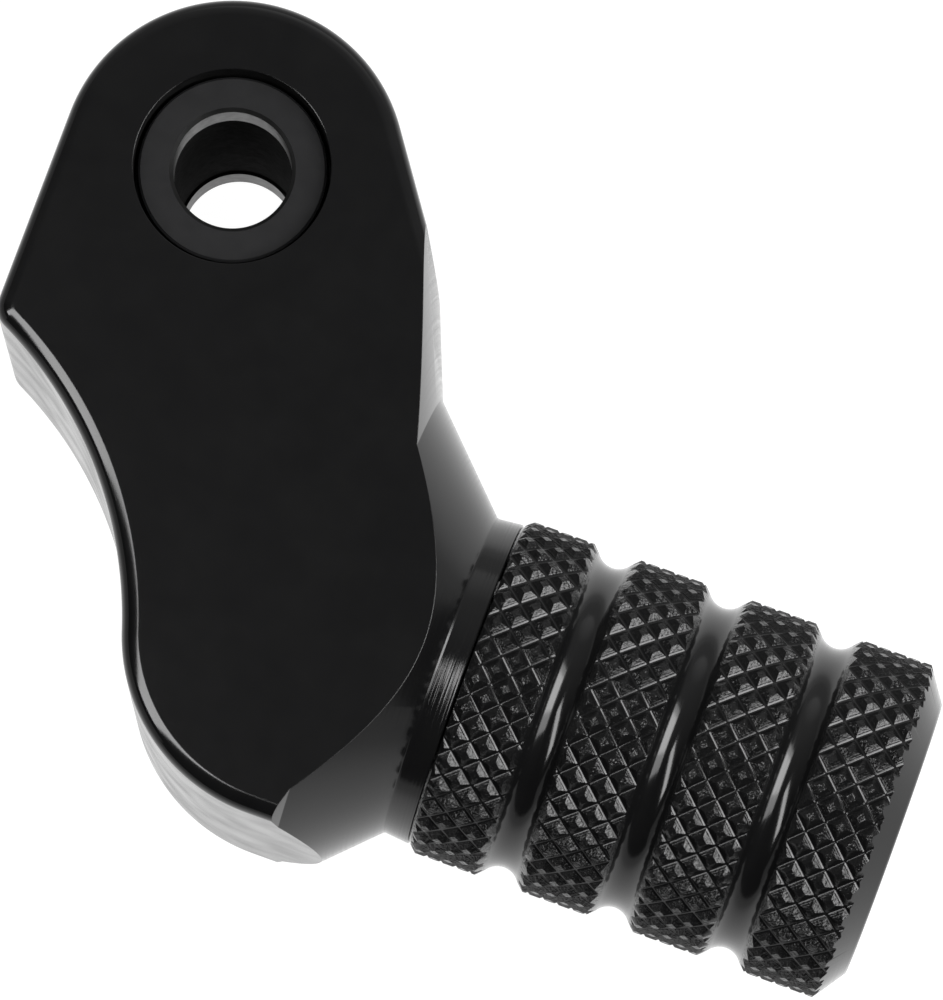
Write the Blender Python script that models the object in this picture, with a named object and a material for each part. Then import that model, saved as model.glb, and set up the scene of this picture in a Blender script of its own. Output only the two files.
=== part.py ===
"""Folding toe peg for a motorcycle shift lever, with the pivot unit that clamps to the lever.

Frame: the origin is where the fold axis meets the arm's back face. +Z is the fold axis and points
out of the front face, +X is the knurled peg's axis towards its free end, and +Y points back along
the lever. Every length is in metres, worked out from the driving dimensions below.
"""
from math import atan2, ceil, cos, pi, radians, sin, sqrt, tan

import bmesh
import bpy
from mathutils import Matrix, Vector

mm = 0.001
GAP = 0.1 * mm                      # clearance between two pieces that fit together
PAST = 1.0 * mm                     # how far a cutter runs past the faces that it opens
BREAK = 0.15 * mm                   # small chamfer that breaks a turned edge
CHAMFER = 0.4 * mm                  # chamfer that leads one piece into another

# Driving dimensions of the arm
THICKNESS = 19.0 * mm               # back face to front face
HEAD_RADIUS = 8.75 * mm
PEG_OFFSET = 19.45 * mm             # fold axis to the peg's axis
PEG_HEIGHT = THICKNESS / 2          # the peg's axis runs in the arm's middle plane
EDGE_FILLET = 0.9 * mm
HEEL_ROUND = 1.3 * mm               # round on the corner that stops against the lever
SHOULDER_ANGLE = radians(35)        # direction that the sloping right side faces
WAIST_RADIUS = 21.5 * mm            # hollow below the heel
BULGE_RADIUS = 9.5 * mm             # round below the waist
BULGE_X = 11.95 * mm
BULGE_DROP = 11.0 * mm              # peg axis to the lowest line of the arm
WAIST_DIRECTION = radians(198.5)    # from the bulge's centre to the waist's centre

# Stations along the peg's axis, measured from the fold axis
CONE_TOP = (13.65 * mm, 13.25 * mm)     # station and radius where the shoulder meets the 45 degree cone
SHOULDER_SLOPE = radians(68.2)
NECK_RADIUS = 8.57 * mm
NECK_END = 19.75 * mm
SPIGOT_RADIUS = 4.8 * mm
SPIGOT_LENGTH = 3.0 * mm

# Peg
BAND_RADIUS = 9.0 * mm
BAND_COUNT = 4
BAND_LENGTH = 3.95 * mm
BAND_PITCH = 6.02 * mm
GROOVE_DEPTH = 0.87 * mm
PEG_END = 42.9 * mm
PEG_END_RADIUS = 7.4 * mm
HEAD_POCKET_RADIUS = 5.4 * mm
HEAD_POCKET_FLOOR = 34.3 * mm

# Peg fasteners: M6 socket head screw, spring washer and one dowel
SCREW_RADIUS = 3.0 * mm
SCREW_HEAD_RADIUS = 5.0 * mm
SCREW_HEAD_HEIGHT = 6.0 * mm
SCREW_LENGTH = 30.0 * mm
SCREW_TIP_CHAMFER = 0.8 * mm
SCREW_KEY_WIDTH = 5.0 * mm
SCREW_KEY_DEPTH = 3.2 * mm
SCREW_CLEARANCE = 0.3 * mm          # between the screw and its hole through the peg
WASHER_SPACE = 1.5 * mm             # height left under the screw's head for the spring washer
WASHER_RISE = 0.3 * mm              # how far the washer's two ends spring apart
DOWEL_RADIUS = 1.0 * mm
DOWEL_OFFSET = 6.6 * mm
DOWEL_SPAN = (16.0 * mm, 22.4 * mm)

# Pivot stack, measured from the back face
PIVOT_BORE = 3.0 * mm               # radius of the two lands that guide the lever's M6 bolt
BORE_MOUTH = 0.2 * mm               # chamfer at both ends of the bore
BORE_RELIEF = 3.15 * mm             # the bore is opened out between its lands
FRONT_LAND = 2.2 * mm               # end face to the relief
REAR_LAND = 2.2 * mm
FRONT_RECESS = 0.8 * mm             # the collar's front face sits this far below the arm's
BACK_RECESS = 0.6 * mm
FLANGE_RADIUS = 4.78 * mm
FLANGE_THICKNESS = 0.8 * mm
THRUST_THICKNESS = 0.5 * mm
FRONT_POCKET_RADIUS = 5.0 * mm
FRONT_POCKET_FLOOR = 15.6 * mm
SHANK_RADIUS = 3.8 * mm
PLATE_SEAT_RADIUS = 3.5 * mm
PLATE_RADIUS = 7.5 * mm
PLATE_THICKNESS = 1.6 * mm
PLATE_POCKET_RADIUS = 7.7 * mm
PLATE_POCKET_DEPTH = 2.4 * mm
SPRING_POCKET_RADIUS = 5.8 * mm
SPRING_POCKET_TOP = 7.9 * mm
BUSH_BORE = 4.7 * mm
BUSH_LENGTH = 3.1 * mm
RUNNING_FIT = 0.05 * mm             # radial clearance between the collar's shank and the bushes

# Return spring and stop
WIRE_RADIUS = 0.6 * mm
COIL_RADIUS = 5.0 * mm
COIL_TURNS = 3.25
COIL_PITCH = 1.28 * mm
LEG_BEND = 0.7 * mm                 # centre-line radius where the wire leaves the coil
TANG_LENGTH = 1.3 * mm              # straight end of the spring's outer leg
SPRING_TANG_ANGLE = radians(90)     # where the spring's outer leg hooks into the arm
STOP_PIN_RADIUS = 0.75 * mm
STOP_PIN_ORBIT = 6.85 * mm
STOP_PIN_ANGLE = radians(195)
STOP_PIN_SPAN = (1.0 * mm, 6.4 * mm)
FOLD_RANGE = radians(90)
STOP_NOTCH_RADIUS = 5.85 * mm

ENVELOPE = 72                       # sides of the arm's turned surfaces
FINE = 48                           # sides of other large round pieces
MEDIUM = 36                         # sides of bushes, washers and seals
COARSE = 24                         # sides of pins and holes


# ---------------------------------------------------------------- scene helpers

def clear_scene():
    for obj in list(bpy.data.objects):
        bpy.data.objects.remove(obj, do_unlink=True)


def make_material(name, colour, metallic, roughness):
    material = bpy.data.materials.new(name)
    material.use_nodes = True
    shader = material.node_tree.nodes["Principled BSDF"]
    shader.inputs["Base Color"].default_value = (*colour, 1.0)
    shader.inputs["Metallic"].default_value = metallic
    shader.inputs["Roughness"].default_value = roughness
    return material


def make_frame(name, location=(0, 0, 0), rotation=(0, 0, 0), parent=None):
    frame = bpy.data.objects.new(name, None)
    frame.location = location
    frame.rotation_euler = rotation
    frame.parent = parent
    bpy.context.collection.objects.link(frame)
    return frame


def make_object(name, bm, parent, material=None):
    """Turn a bmesh into an object whose origin is its parent frame's origin."""
    bmesh.ops.recalc_face_normals(bm, faces=bm.faces)
    mesh = bpy.data.meshes.new(name)
    bm.to_mesh(mesh)
    bm.free()
    obj = bpy.data.objects.new(name, mesh)
    obj.parent = parent
    bpy.context.collection.objects.link(obj)
    if material:
        mesh.materials.append(material)
        mesh.shade_smooth()
        mesh.set_sharp_from_angle(angle=radians(30))
    return obj


def boolean(target, cutter, operation="DIFFERENCE"):
    """Add an exact boolean, and keep its cutter as a hidden wire guide."""
    modifier = target.modifiers.new(cutter.name, "BOOLEAN")
    modifier.operation = operation
    modifier.solver = "EXACT"
    modifier.object = cutter
    cutter.hide_render = True
    cutter.display_type = "WIRE"


# ---------------------------------------------------------------- shape helpers

def polar(radius, angle):
    return (radius * cos(angle), radius * sin(angle))


def arc(centre, radius, start, end, steps):
    """Points along a circular arc, both ends included."""
    angles = [start + (end - start) * k / steps for k in range(steps + 1)]
    return [(centre[0] + radius * cos(a), centre[1] + radius * sin(a)) for a in angles]


def turned(profile, sides, closed=True):
    """Spin a profile of (station, radius) points about local Z.

    A closed profile makes a ring. An open one starts and ends on the axis and makes a solid.
    """
    bm = bmesh.new()
    verts = [bm.verts.new((radius, 0, station)) for station, radius in profile]
    pairs = list(zip(verts, verts[1:]))
    if closed:
        pairs.append((verts[-1], verts[0]))
    edges = [bm.edges.new(pair) for pair in pairs]
    bmesh.ops.spin(bm, geom=verts + edges, axis=(0, 0, 1), cent=(0, 0, 0),
                   angle=2 * pi, steps=sides, use_merge=True)
    bmesh.ops.remove_doubles(bm, verts=bm.verts, dist=0.0001 * mm)
    return bm


def rod(start, end, radius, sides, chamfer=0.0):
    """A cylinder about local Z, its two ends chamfered unless the chamfer is zero."""
    profile = [(start, 0), (start, radius - chamfer), (start + chamfer, radius),
               (end - chamfer, radius), (end, radius - chamfer), (end, 0)]
    return turned(profile, sides, closed=False)


def ring(start, end, inner, outer, sides, chamfer):
    """A plain bush or washer about local Z, with its four rims chamfered."""
    return turned([(start, inner + chamfer), (start + chamfer, inner), (end - chamfer, inner),
                   (end, inner + chamfer), (end, outer - chamfer), (end - chamfer, outer),
                   (start + chamfer, outer), (start, outer - chamfer)], sides)


def prism(outline, bottom, top):
    """Extrude a closed XY outline from one height to another."""
    bm = bmesh.new()
    face = bm.faces.new([bm.verts.new((x, y, bottom)) for x, y in outline])
    raised = bmesh.ops.extrude_face_region(bm, geom=[face])["geom"]
    verts = [item for item in raised if isinstance(item, bmesh.types.BMVert)]
    bmesh.ops.translate(bm, verts=verts, vec=(0, 0, top - bottom))
    return bm


def swept_wire(path, radius, sides):
    """A round wire along a path of points, with flat ends."""
    points = [Vector(p) for p in path]
    tangents = [(points[min(k + 1, len(points) - 1)] - points[max(k - 1, 0)]).normalized()
                for k in range(len(points))]
    across = tangents[0].orthogonal().normalized()
    bm = bmesh.new()
    loops = []
    for point, tangent in zip(points, tangents):
        across = (across - tangent * across.dot(tangent)).normalized()
        up = tangent.cross(across)
        loops.append([bm.verts.new(point + (across * cos(a) + up * sin(a)) * radius)
                      for a in (2 * pi * k / sides for k in range(sides))])
    for low, high in zip(loops, loops[1:]):
        for k in range(sides):
            j = (k + 1) % sides
            bm.faces.new((low[k], low[j], high[j], high[k]))
    bm.faces.new(loops[0])
    bm.faces.new(list(reversed(loops[-1])))
    return bm


# ---------------------------------------------------------------- arm

def arm_outline():
    """The arm seen along the fold axis: round head, flat stop side, hollow waist and round bulge.

    Right of the shoulder the outline only has to clear the turned envelope, which trims it.
    """
    bulge = (BULGE_X, BULGE_RADIUS - PEG_OFFSET - BULGE_DROP)
    reach = WAIST_RADIUS + BULGE_RADIUS
    waist = (bulge[0] + reach * cos(WAIST_DIRECTION), bulge[1] + reach * sin(WAIST_DIRECTION))

    heel_x = HEEL_ROUND - HEAD_RADIUS
    heel_y = waist[1] + sqrt((WAIST_RADIUS + HEEL_ROUND) ** 2 - (heel_x - waist[0]) ** 2)
    heel_to_waist = atan2(waist[1] - heel_y, waist[0] - heel_x)

    tangent_point = polar(HEAD_RADIUS, SHOULDER_ANGLE)
    clear_x = 12.8 * mm
    run = (clear_x - tangent_point[0]) / sin(SHOULDER_ANGLE)
    clear_y = tangent_point[1] - run * cos(SHOULDER_ANGLE)
    past_peg = 30.0 * mm

    outline = arc((0, 0), HEAD_RADIUS, SHOULDER_ANGLE, pi, 28)
    outline += arc((heel_x, heel_y), HEEL_ROUND, pi, heel_to_waist + 2 * pi, 6)
    outline += arc(waist, WAIST_RADIUS, heel_to_waist + pi, WAIST_DIRECTION - pi, 10)[1:]
    outline += arc(bulge, BULGE_RADIUS, WAIST_DIRECTION, radians(270), 10)[1:]
    outline += [(past_peg, bulge[1] - BULGE_RADIUS), (past_peg, clear_y), (clear_x, clear_y)]
    return outline


def arm_blank():
    """Extruded outline with both long edges rounded."""
    bm = prism(arm_outline(), 0.0, THICKNESS)
    rims = [edge for edge in bm.edges if edge.verts[0].co.z == edge.verts[1].co.z]
    bmesh.ops.bevel(bm, geom=rims, offset=EDGE_FILLET, offset_type="OFFSET", segments=4,
                    profile=0.5, affect="EDGES")
    return bm


def arm_envelope():
    """Solid that the lathe leaves about the peg's axis: shoulder, cone, neck and spigot."""
    outer = 32.0 * mm
    shoulder_station = CONE_TOP[0] - (outer - CONE_TOP[1]) / tan(SHOULDER_SLOPE)
    cone_end = CONE_TOP[0] + CONE_TOP[1] - NECK_RADIUS
    behind = -20.0 * mm
    spigot_end = NECK_END + SPIGOT_LENGTH
    return turned([(behind, 0), (behind, outer), (shoulder_station, outer), CONE_TOP,
                   (cone_end, NECK_RADIUS), (NECK_END, NECK_RADIUS), (NECK_END, SPIGOT_RADIUS),
                   (spigot_end - CHAMFER, SPIGOT_RADIUS), (spigot_end, SPIGOT_RADIUS - CHAMFER),
                   (spigot_end, 0)], ENVELOPE, closed=False)


def pivot_bore():
    """Stepped hole through the head: plate pocket, spring pocket, bush bore and flange pocket."""
    return turned([(-PAST, 0), (-PAST, PLATE_POCKET_RADIUS),
                   (PLATE_POCKET_DEPTH, PLATE_POCKET_RADIUS),
                   (PLATE_POCKET_DEPTH, SPRING_POCKET_RADIUS),
                   (SPRING_POCKET_TOP, SPRING_POCKET_RADIUS), (SPRING_POCKET_TOP, BUSH_BORE),
                   (FRONT_POCKET_FLOOR, BUSH_BORE), (FRONT_POCKET_FLOOR, FRONT_POCKET_RADIUS),
                   (THICKNESS + PAST, FRONT_POCKET_RADIUS), (THICKNESS + PAST, 0)],
                  FINE, closed=False)


def spring_tang_slot():
    """Radial slot in the spring pocket's wall that takes the spring's outer leg."""
    left, right = LEG_BEND - WIRE_RADIUS - 2 * GAP, LEG_BEND + WIRE_RADIUS + 2 * GAP
    inner = SPRING_POCKET_RADIUS - PAST
    outer = COIL_RADIUS + LEG_BEND + TANG_LENGTH + 3 * GAP
    outline = [(inner, left), (outer, left), (outer, right), (inner, right)]
    bm = prism(outline, PLATE_POCKET_DEPTH - PAST, SPRING_POCKET_TOP - GAP)
    bmesh.ops.rotate(bm, verts=bm.verts, cent=(0, 0, 0),
                     matrix=Matrix.Rotation(SPRING_TANG_ANGLE, 3, "Z"))
    return bm


def stop_pin_place():
    return (*polar(STOP_PIN_ORBIT, STOP_PIN_ANGLE), 0.0)


def screw_seat():
    """Station of the face under the screw's head."""
    return HEAD_POCKET_FLOOR + WASHER_SPACE + 2 * GAP


def screw_tip():
    return screw_seat() - SCREW_LENGTH


def build_arm(tip, peg, material):
    arm = make_object("arm", arm_blank(), tip, material)
    boolean(arm, make_object("cut_arm_envelope", arm_envelope(), peg), "INTERSECT")
    boolean(arm, make_object("cut_pivot_bore", pivot_bore(), tip))
    boolean(arm, make_object("cut_spring_tang_slot", spring_tang_slot(), tip))
    pin_hole = make_object("cut_stop_pin_hole",
                           rod(PLATE_POCKET_DEPTH - PAST, STOP_PIN_SPAN[1] + GAP,
                               STOP_PIN_RADIUS + GAP / 2, COARSE), tip)
    pin_hole.location = stop_pin_place()
    boolean(arm, pin_hole)
    spigot_end = NECK_END + SPIGOT_LENGTH
    boolean(arm, make_object("cut_peg_screw_hole",
                             rod(screw_tip() - PAST, spigot_end + PAST,
                                 SCREW_RADIUS + GAP / 2, COARSE), peg))
    dowel_hole = make_object("cut_arm_dowel_hole",
                             rod(DOWEL_SPAN[0] - GAP, NECK_END + PAST,
                                 DOWEL_RADIUS + GAP / 2, COARSE), peg)
    dowel_hole.location = (0, DOWEL_OFFSET, 0)
    boolean(arm, dowel_hole)


# ---------------------------------------------------------------- peg and its fasteners

def groove(station):
    """Round-bottomed groove that starts at a station, as profile points at the band's radius."""
    width = BAND_PITCH - BAND_LENGTH
    radius = (width ** 2 / 4 + GROOVE_DEPTH ** 2) / (2 * GROOVE_DEPTH)
    centre = BAND_RADIUS - GROOVE_DEPTH + radius
    reach = atan2(width / 2, centre - BAND_RADIUS)
    steps = 5
    angles = [-reach + 2 * reach * k / steps for k in range(steps + 1)]
    return [(station + width / 2 + radius * sin(a), centre - radius * cos(a)) for a in angles]


def build_toe_peg(peg, material):
    start = NECK_END + GAP
    seat = NECK_END + SPIGOT_LENGTH + GAP
    clear = SCREW_RADIUS + SCREW_CLEARANCE
    profile = [(start, SPIGOT_RADIUS + GAP), (seat, SPIGOT_RADIUS + GAP), (seat, clear),
               (HEAD_POCKET_FLOOR, clear), (HEAD_POCKET_FLOOR, HEAD_POCKET_RADIUS),
               (PEG_END - CHAMFER, HEAD_POCKET_RADIUS), (PEG_END, HEAD_POCKET_RADIUS + CHAMFER),
               (PEG_END, PEG_END_RADIUS)]
    last_band_end = NECK_END + (BAND_COUNT - 1) * BAND_PITCH + BAND_LENGTH
    profile.append((last_band_end, BAND_RADIUS))
    for k in reversed(range(BAND_COUNT - 1)):
        profile += reversed(groove(NECK_END + k * BAND_PITCH + BAND_LENGTH))
    profile += [(start + BREAK, BAND_RADIUS), (start, BAND_RADIUS - BREAK)]
    toe_peg = make_object("toe_peg", turned(profile, FINE), peg, material)
    dowel_hole = make_object("cut_peg_dowel_hole",
                             rod(NECK_END - PAST, DOWEL_SPAN[1] + GAP,
                                 DOWEL_RADIUS + GAP / 2, COARSE), peg)
    dowel_hole.location = (0, DOWEL_OFFSET, 0)
    boolean(toe_peg, dowel_hole)


def build_peg_screw(peg, material):
    """Socket head screw that pulls the peg on to the arm."""
    top = screw_seat() + SCREW_HEAD_HEIGHT
    profile = [(screw_tip(), 0), (screw_tip(), SCREW_RADIUS - SCREW_TIP_CHAMFER),
               (screw_tip() + SCREW_TIP_CHAMFER, SCREW_RADIUS), (screw_seat(), SCREW_RADIUS),
               (screw_seat(), SCREW_HEAD_RADIUS), (top - CHAMFER, SCREW_HEAD_RADIUS),
               (top, SCREW_HEAD_RADIUS - CHAMFER), (top, 0)]
    screw = make_object("peg_screw", turned(profile, COARSE, closed=False), peg, material)
    corner = SCREW_KEY_WIDTH / sqrt(3)
    hexagon = [polar(corner, radians(60 * k)) for k in range(6)]
    boolean(screw, make_object("cut_screw_socket", prism(hexagon, top - SCREW_KEY_DEPTH, top + PAST), peg))


def build_lock_washer(peg, material):
    """Split spring washer: a square wire bent once round with a small rise and a slanted gap."""
    inner, outer = SCREW_RADIUS + GAP, SCREW_HEAD_RADIUS - GAP
    thickness = WASHER_SPACE - WASHER_RISE
    sweep = radians(348)
    steps = COARSE
    base = HEAD_POCKET_FLOOR + GAP
    bm = bmesh.new()
    loops = []
    for k in range(steps + 1):
        angle = sweep * k / steps
        low = base + WASHER_RISE * k / steps
        corners = [(inner, low), (outer, low), (outer, low + thickness), (inner, low + thickness)]
        loops.append([bm.verts.new((*polar(radius, angle), z)) for radius, z in corners])
    for back, front in zip(loops, loops[1:]):
        for k in range(4):
            j = (k + 1) % 4
            bm.faces.new((back[k], back[j], front[j], front[k]))
    bm.faces.new(loops[0])
    bm.faces.new(list(reversed(loops[-1])))
    make_object("peg_lock_washer", bm, peg, material)


def build_peg_dowel(peg, material):
    dowel = make_object("peg_dowel", rod(*DOWEL_SPAN, DOWEL_RADIUS, COARSE, BREAK), peg, material)
    dowel.location = (0, DOWEL_OFFSET, 0)


# ---------------------------------------------------------------- pivot unit

def flange_top():
    return THICKNESS - FRONT_RECESS


def flange_bottom():
    return flange_top() - FLANGE_THICKNESS


def build_pivot_collar(pivot, material):
    """Steel sleeve that the lever's bolt clamps: front flange, shank and reduced seat for the plate."""
    plate_top = BACK_RECESS + PLATE_THICKNESS + GAP / 2
    land_bottom, land_top = BACK_RECESS + REAR_LAND, flange_top() - FRONT_LAND
    step = BORE_RELIEF - PIVOT_BORE
    bore = [(BACK_RECESS, PIVOT_BORE + BORE_MOUTH), (BACK_RECESS + BORE_MOUTH, PIVOT_BORE),
            (land_bottom, PIVOT_BORE), (land_bottom + step, BORE_RELIEF), (land_top, BORE_RELIEF),
            (land_top, PIVOT_BORE), (flange_top() - BORE_MOUTH, PIVOT_BORE),
            (flange_top(), PIVOT_BORE + BORE_MOUTH)]
    outside = [(flange_top(), FLANGE_RADIUS - BREAK), (flange_top() - BREAK, FLANGE_RADIUS),
               (flange_bottom(), FLANGE_RADIUS), (flange_bottom(), SHANK_RADIUS),
               (plate_top, SHANK_RADIUS), (plate_top, PLATE_SEAT_RADIUS),
               (BACK_RECESS, PLATE_SEAT_RADIUS)]
    make_object("pivot_collar", turned(bore + outside, FINE), pivot, material)


def build_spring_plate(pivot, material):
    """Disc on the collar's back end. Its rim notch holds the stop pin and its hole the spring."""
    bottom, top = BACK_RECESS, BACK_RECESS + PLATE_THICKNESS
    plate = make_object("spring_plate",
                        ring(bottom, top, PLATE_SEAT_RADIUS + GAP / 2, PLATE_RADIUS, FINE, BREAK),
                        pivot, material)
    half_pin = atan2(STOP_PIN_RADIUS + GAP, STOP_PIN_ORBIT)
    start, end = STOP_PIN_ANGLE - half_pin, STOP_PIN_ANGLE + FOLD_RANGE + half_pin
    outside = PLATE_RADIUS + PAST
    steps = 24
    outline = arc((0, 0), STOP_NOTCH_RADIUS, end, start, steps) + arc((0, 0), outside, start, end, steps)
    notch = make_object("cut_stop_notch", prism(outline, bottom - PAST, top + PAST), pivot)
    boolean(plate, notch)
    leg_hole = make_object("cut_spring_leg_hole",
                           rod(bottom - PAST, top + PAST, WIRE_RADIUS + GAP, COARSE), pivot)
    leg_hole.location = spring_leg_place()
    boolean(plate, leg_hole)


def coil_start_angle():
    """Where the coil begins, so that it ends at the arm's slot."""
    return SPRING_TANG_ANGLE - 2 * pi * COIL_TURNS


def spring_leg_place():
    """Where the spring's inner leg goes down through the plate."""
    start = coil_start_angle()
    on_coil, back = polar(COIL_RADIUS, start), polar(LEG_BEND, start - pi / 2)
    return (on_coil[0] + back[0], on_coil[1] + back[1], 0.0)


def build_return_spring(pivot, material):
    """Round wire: leg in the plate, bend, right-hand coil, bend, radial leg in the arm's slot."""
    base = BACK_RECESS + PLATE_THICKNESS + WIRE_RADIUS + 1.5 * GAP
    rise = COIL_PITCH * COIL_TURNS
    steps = ceil(COIL_TURNS * 20)
    bends = [pi / 2 * k / 5 for k in range(1, 6)]
    coil = []
    for k in range(steps + 1):
        angle = coil_start_angle() + 2 * pi * COIL_TURNS * k / steps
        coil.append(Vector((*polar(COIL_RADIUS, angle), base + rise * k / steps)))

    backwards = Vector((*polar(1.0, coil_start_angle() - pi / 2), 0))
    down = Vector((0, 0, -1))
    inner_leg = [coil[0] + backwards * LEG_BEND * sin(a) + down * LEG_BEND * (1 - cos(a)) for a in bends]
    foot = inner_leg[-1].copy()
    foot.z = BACK_RECESS + 3 * GAP

    onwards = Vector((*polar(1.0, SPRING_TANG_ANGLE + pi / 2), 0))
    outwards = Vector((*polar(1.0, SPRING_TANG_ANGLE), 0))
    tang = [coil[-1] + onwards * LEG_BEND * sin(a) + outwards * LEG_BEND * (1 - cos(a)) for a in bends]
    path = [foot] + inner_leg[::-1] + coil + tang + [tang[-1] + outwards * TANG_LENGTH]
    make_object("return_spring", swept_wire(path, WIRE_RADIUS, 10), pivot, material)


def build_thrust_washer(pivot, material):
    top = flange_bottom() - GAP
    make_object("thrust_washer", ring(top - THRUST_THICKNESS, top, SHANK_RADIUS + GAP,
                                      FRONT_POCKET_RADIUS - GAP, MEDIUM, BREAK), pivot, material)


def build_bush(name, start, tip, material):
    make_object(name, ring(start, start + BUSH_LENGTH, SHANK_RADIUS + RUNNING_FIT,
                           BUSH_BORE - RUNNING_FIT, MEDIUM, BREAK), tip, material)


def build_seal(name, floor, outer, tip, material):
    """Sealing ring of round section that fills the space between the shank and a bore."""
    section = (outer - SHANK_RADIUS) / 2 - GAP
    centre = (outer + SHANK_RADIUS) / 2
    height = floor + GAP + section
    profile = [(height + section * sin(a), centre + section * cos(a))
               for a in (2 * pi * k / 8 for k in range(8))]
    make_object(name, turned(profile, MEDIUM), tip, material)


def build_stop_pin(tip, material):
    pin = make_object("stop_pin", rod(*STOP_PIN_SPAN, STOP_PIN_RADIUS, COARSE, BREAK), tip, material)
    pin.location = stop_pin_place()


# ---------------------------------------------------------------- assembly

def build():
    clear_scene()
    anodised = make_material("black_anodised", (0.020, 0.020, 0.022), 0.9, 0.30)
    knurled = make_material("black_anodised_knurl", (0.020, 0.020, 0.022), 0.9, 0.28)
    black_steel = make_material("black_oxide_steel", (0.030, 0.030, 0.032), 0.8, 0.38)
    bright_steel = make_material("bright_steel", (0.55, 0.55, 0.56), 1.0, 0.30)
    spring_steel = make_material("spring_steel", (0.28, 0.27, 0.26), 1.0, 0.35)
    bronze = make_material("bronze", (0.45, 0.30, 0.13), 1.0, 0.35)
    polymer = make_material("acetal", (0.012, 0.012, 0.012), 0.0, 0.45)
    rubber = make_material("nitrile_rubber", (0.015, 0.015, 0.015), 0.0, 0.70)

    pivot = make_frame("pivot_frame")
    tip = make_frame("tip_frame")
    peg = make_frame("peg_frame", (0, -PEG_OFFSET, PEG_HEIGHT), (0, pi / 2, 0), tip)

    build_arm(tip, peg, anodised)
    build_toe_peg(peg, knurled)
    build_peg_screw(peg, black_steel)
    build_lock_washer(peg, spring_steel)
    build_peg_dowel(peg, bright_steel)
    build_bush("rear_bush", SPRING_POCKET_TOP + 1.0 * mm, tip, bronze)
    build_bush("front_bush", FRONT_POCKET_FLOOR - GAP - BUSH_LENGTH, tip, bronze)
    build_seal("rear_seal", SPRING_POCKET_TOP, BUSH_BORE, tip, rubber)
    build_seal("front_seal", FRONT_POCKET_FLOOR, FRONT_POCKET_RADIUS, tip, rubber)
    build_stop_pin(tip, bright_steel)

    build_pivot_collar(pivot, black_steel)
    build_thrust_washer(pivot, polymer)
    build_spring_plate(pivot, black_steel)
    build_return_spring(pivot, spring_steel)


build()
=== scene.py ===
"""Looks of the folding toe peg: fine geometry, materials, lights, floor and camera.

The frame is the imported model's: +Z is the fold axis, out of the front face, +X the knurled peg's
axis and +Y points back along the lever. Lengths are in metres.
"""
from math import atan2, ceil, cos, pi, radians, sin, sqrt, tan

import bmesh
import bpy
from mathutils import Matrix, Vector


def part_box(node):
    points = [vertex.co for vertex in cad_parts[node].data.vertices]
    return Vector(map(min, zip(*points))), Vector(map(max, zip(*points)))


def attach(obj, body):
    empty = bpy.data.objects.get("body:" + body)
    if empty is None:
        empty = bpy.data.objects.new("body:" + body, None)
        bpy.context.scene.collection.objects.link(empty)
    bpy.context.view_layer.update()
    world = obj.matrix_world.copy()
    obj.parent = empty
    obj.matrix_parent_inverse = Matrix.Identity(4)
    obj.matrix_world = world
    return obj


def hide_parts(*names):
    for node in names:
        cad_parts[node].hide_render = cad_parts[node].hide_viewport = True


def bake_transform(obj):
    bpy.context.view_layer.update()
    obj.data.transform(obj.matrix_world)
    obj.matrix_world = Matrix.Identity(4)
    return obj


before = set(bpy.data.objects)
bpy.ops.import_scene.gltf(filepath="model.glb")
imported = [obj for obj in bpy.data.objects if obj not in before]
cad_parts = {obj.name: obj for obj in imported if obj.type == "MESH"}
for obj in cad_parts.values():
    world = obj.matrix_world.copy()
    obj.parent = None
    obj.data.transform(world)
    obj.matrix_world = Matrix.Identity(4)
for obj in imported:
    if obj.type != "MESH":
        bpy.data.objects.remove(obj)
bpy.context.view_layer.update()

mm = 0.001
GAP = 0.1 * mm                      # clearance between two pieces that fit together
PAST = 1.0 * mm                     # how far a cutter runs past the faces that it opens
NEAR = 0.01 * mm                    # places that are closer than this count as one

# Places read from the frame
ARM_LOW, ARM_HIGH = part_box("arm")
PEG_LOW, PEG_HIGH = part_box("toe_peg")
COLLAR_LOW, COLLAR_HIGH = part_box("pivot_collar")
PLATE_LOW, PLATE_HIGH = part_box("spring_plate")
SPRING_LOW, SPRING_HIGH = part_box("return_spring")
SCREW_LOW, SCREW_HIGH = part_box("peg_screw")
WASHER_LOW, WASHER_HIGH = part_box("peg_lock_washer")
PIN_LOW, PIN_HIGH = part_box("stop_pin")
DOWEL_LOW, DOWEL_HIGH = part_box("peg_dowel")

THICKNESS = ARM_HIGH.z
HEAD_RADIUS = ARM_HIGH.y
SPIGOT_END = ARM_HIGH.x
PEG_START, PEG_END = PEG_LOW.x, PEG_HIGH.x
PEG_Y = (PEG_LOW.y + PEG_HIGH.y) / 2
PEG_Z = (PEG_LOW.z + PEG_HIGH.z) / 2
BAND_RADIUS = (PEG_HIGH.y - PEG_LOW.y) / 2
FLANGE_RADIUS = COLLAR_HIGH.x
PLATE_RADIUS = PLATE_HIGH.x

# Arm
EDGE_FILLET = 0.9 * mm              # round along the outline's long edges
EDGE_BREAK = 0.07 * mm
FINE_BREAK = 0.03 * mm
HEEL_ROUND = 1.3 * mm
SHOULDER_ANGLE = radians(35)        # direction that the sloping right side faces
WAIST_RADIUS = 21.5 * mm
WAIST_DIRECTION = radians(198.5)    # from the bulge's centre to the waist's centre
BULGE_RADIUS = 9.5 * mm
BULGE_X = 11.95 * mm
CONE_TOP = (13.65 * mm, 13.25 * mm)     # station and radius where the shoulder meets the cone
SHOULDER_SLOPE = radians(68.2)
NECK_RADIUS = 8.57 * mm
NECK_START_RADIUS = NECK_RADIUS - 0.04 * mm
NECK_END_RADIUS = NECK_RADIUS + 0.08 * mm
NECK_START = CONE_TOP[0] + CONE_TOP[1] - NECK_RADIUS
NECK_END = 19.75 * mm
NECK_FILLET = 0.22 * mm
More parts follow.
